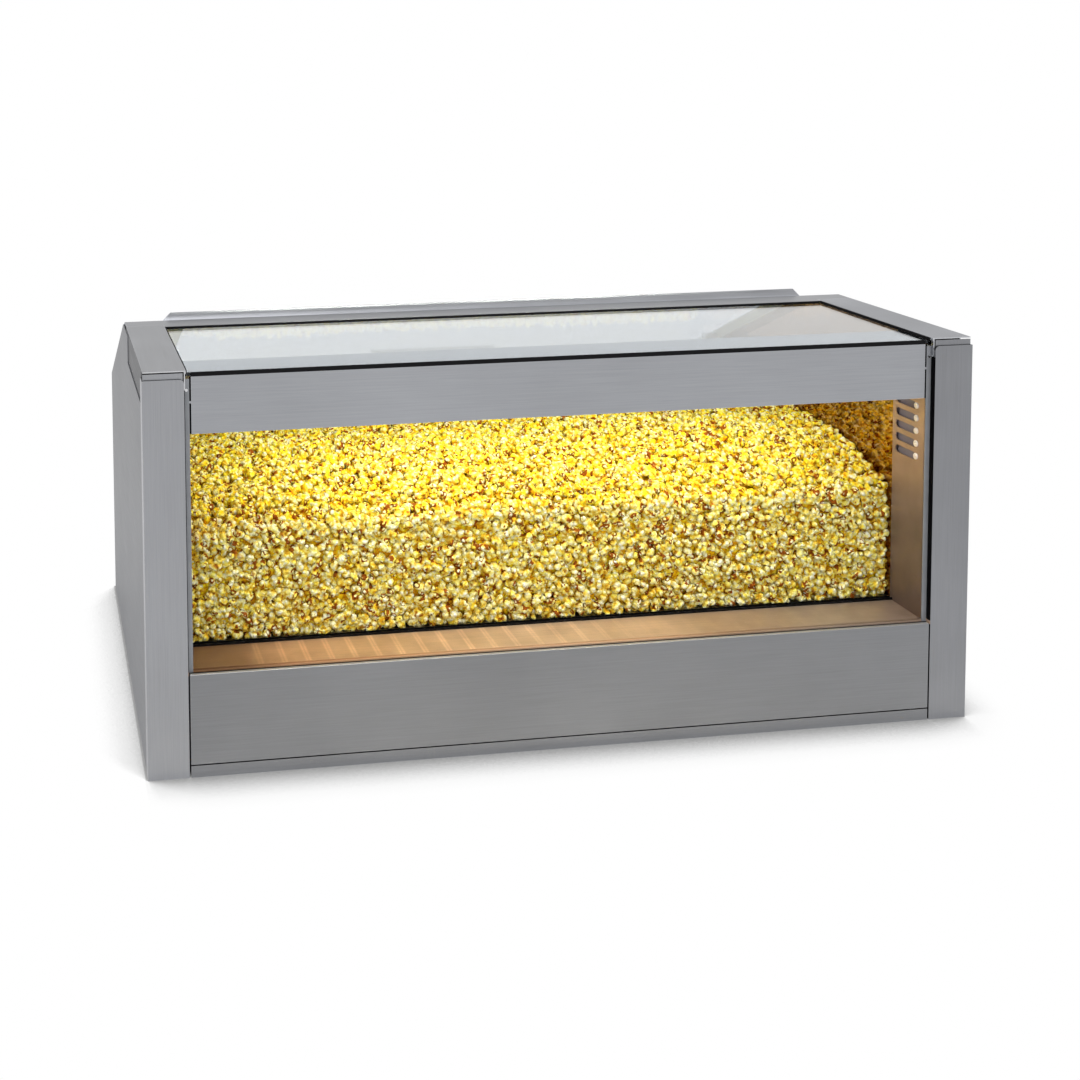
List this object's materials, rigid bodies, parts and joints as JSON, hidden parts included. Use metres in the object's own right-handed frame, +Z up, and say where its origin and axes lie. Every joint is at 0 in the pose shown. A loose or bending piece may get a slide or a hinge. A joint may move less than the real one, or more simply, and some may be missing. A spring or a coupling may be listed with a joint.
{
  "type": "popcorn staging cabinet",
  "caption": "Countertop popcorn staging cabinet: stainless case, glass front and top, heated bin filled with popcorn, sloping lift-up rear lid, crumb drawers and rear controls.",
  "frame": {"origin": "centre of the footprint, on the counter that the cabinet stands on", "axes": "+X along the cabinet, to the right as the customer sees it; +Y from the glass front to the staff side; +Z up"},
  "size_m": [1.219, 0.711, 0.5817],
  "materials": {
    "stainless": "horizontal brushed grain",
    "inner_steel": "satin sheet",
    "glass": "clear tempered",
    "clear_lid": "clear polycarbonate",
    "black_rubber": "matt",
    "lamp_aluminium": "extruded",
    "lamp_board": "white solder mask",
    "lamp_lens": "frosted diffuser",
    "black_plastic": "moulded",
    "pilot_red": "translucent",
    "motor_black": "semi-gloss",
    "galvanised": "galvanised sheet",
    "popcorn": "popped corn"
  },
  "bodies": {
    "cabinet": {"base_pan": "stainless", "left_side_panel": "stainless", "right_side_panel": "stainless", "left_front_post": "stainless", "right_front_post": "stainless", "left_top_rail": "stainless", "right_top_rail": "stainless", "rear_top_strip": "stainless", "rear_lip": "stainless", "front_valance": "stainless", "glass_trims": "stainless", "slot_studs": "stainless", "lower_front_panel": "stainless", "rear_panel": "stainless", "base_rear_panel": "stainless", "slope_frame": "stainless", "control_panel": "stainless", "panel_screws": "stainless", "frame_hinge_leaves": "stainless", "hinge_pins": "stainless", "lid_rest_blocks": "stainless", "left_inner_wall": "inner_steel", "right_inner_wall": "inner_steel", "front_deck": "inner_steel", "floor_screens": "inner_steel", "floor_ledges": "inner_steel", "bay_dividers": "inner_steel", "drawer_runners": "inner_steel", "top_glass": "glass", "front_glass": "glass", "inner_glass": "glass", "top_glass_gasket": "black_rubber", "front_seals": "black_rubber", "inner_glass_channel": "black_rubber", "lamp_housings": "lamp_aluminium", "led_driver": "lamp_aluminium", "led_boards": "lamp_board", "lamp_lenses": "lamp_lens", "switch_bodies": "black_plastic", "thermostat_body": "black_plastic", "power_inlet": "black_plastic", "pilot_lamp": "pilot_red", "blower_motor": "motor_black", "blower_housing": "galvanised", "heater_box": "galvanised", "heater_element": "galvanised", "popcorn_fill": "popcorn"},
    "lid": {"lid_pane": "clear_lid", "lid_hinge_leaves": "stainless", "lid_handle": "stainless"},
    "left_drawer": {"left_drawer": "stainless", "left_drawer_handle": "stainless"},
    "right_drawer": {"right_drawer": "stainless", "right_drawer_handle": "stainless"},
    "power_switch": {"power_rocker": "black_plastic"},
    "blower_switch": {"blower_rocker": "black_plastic"},
    "light_switch": {"light_rocker": "black_plastic"},
    "thermostat": {"thermostat_knob": "black_plastic"},
    "blower_rotor": {"blower_wheel": "galvanised", "blower_shaft": "galvanised"}
  },
  "joints": [
    {"name": "lid_hinge", "type": "hinge", "parent": "cabinet", "child": "lid", "pos_m": [0, 0.03174, 0.56155], "axis": [1, 0, 0], "range_deg": [0, 160]},
    {"name": "left_drawer_slide", "type": "slide", "parent": "cabinet", "child": "left_drawer", "axis": [0, 1, 0], "range_m": [0, 0.45]},
    {"name": "right_drawer_slide", "type": "slide", "parent": "cabinet", "child": "right_drawer", "axis": [0, 1, 0], "range_m": [0, 0.45]},
    {"name": "power_switch_rock", "type": "hinge", "parent": "cabinet", "child": "power_switch", "pos_m": [-0.092, 0.323, 0.104], "axis": [1, 0, 0], "range_deg": [-20, 0]},
    {"name": "blower_switch_rock", "type": "hinge", "parent": "cabinet", "child": "blower_switch", "pos_m": [-0.044, 0.323, 0.104], "axis": [1, 0, 0], "range_deg": [-20, 0]},
    {"name": "light_switch_rock", "type": "hinge", "parent": "cabinet", "child": "light_switch", "pos_m": [0.004, 0.323, 0.104], "axis": [1, 0, 0], "range_deg": [-20, 0]},
    {"name": "thermostat_turn", "type": "hinge", "parent": "cabinet", "child": "thermostat", "pos_m": [0.084, 0.323, 0.098], "axis": [0, -1, 0], "range_deg": [0, 270]},
    {"name": "blower_spin", "type": "hinge", "parent": "cabinet", "child": "blower_rotor", "pos_m": [0, 0.1655, 0.074], "axis": [1, 0, 0], "continuous": true}
  ]
}
